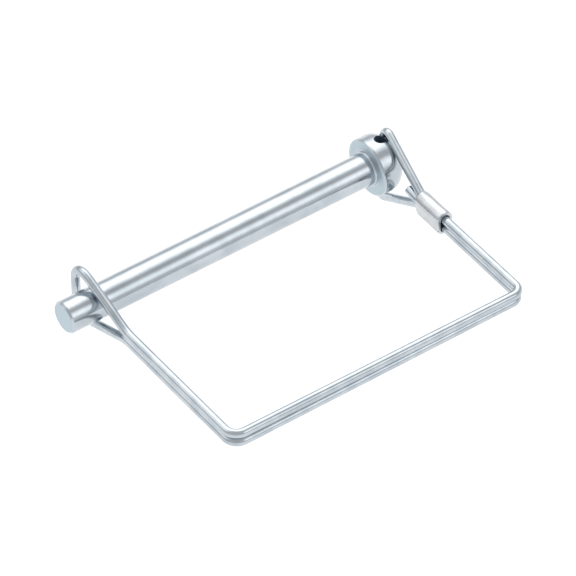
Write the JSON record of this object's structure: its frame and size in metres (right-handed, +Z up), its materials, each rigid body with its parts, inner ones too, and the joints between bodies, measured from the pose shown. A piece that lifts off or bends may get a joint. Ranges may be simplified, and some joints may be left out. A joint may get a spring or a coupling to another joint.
{
  "type": "wire-lock hitch pin",
  "caption": "Straight headed hitch pin with a spring-wire bail that hinges through the head and snaps over the tip to lock it in a drawbar or bracket.",
  "frame": {"origin": "where the pin's axis meets the load face of the head", "axes": "+X along the pin axis towards the head, -X towards the tip; the closed bail lies on the -Y side; +Z up, with the wire's two strands stacked along Z"},
  "size_m": [0.0915, 0.0632, 0.0203],
  "materials": {
    "plated_pin": "bright zinc plate",
    "plated_wire": "bright zinc plated spring wire",
    "ferrule_metal": "satin, drawn and crimped"
  },
  "bodies": {
    "pin": {"headed_pin": "plated_pin"},
    "bail": {"bail_wire": "plated_wire", "ferrule": "ferrule_metal"},
    "latch": {"latch_loop": "plated_wire"}
  },
  "joints": [
    {"name": "bail_swing", "type": "hinge", "parent": "pin", "child": "bail", "pos_m": [0.00565, 0.0016, 0], "axis": [0.0995, 0, 0.995], "range_deg": [0, 210]},
    {"name": "latch_flex", "type": "hinge", "parent": "bail", "child": "latch", "pos_m": [-0.07535, -0.0502, 0], "axis": [0, 0, 1], "range_deg": [0, 12.5], "stiffness_Nm_per_rad": 2}
  ]
}
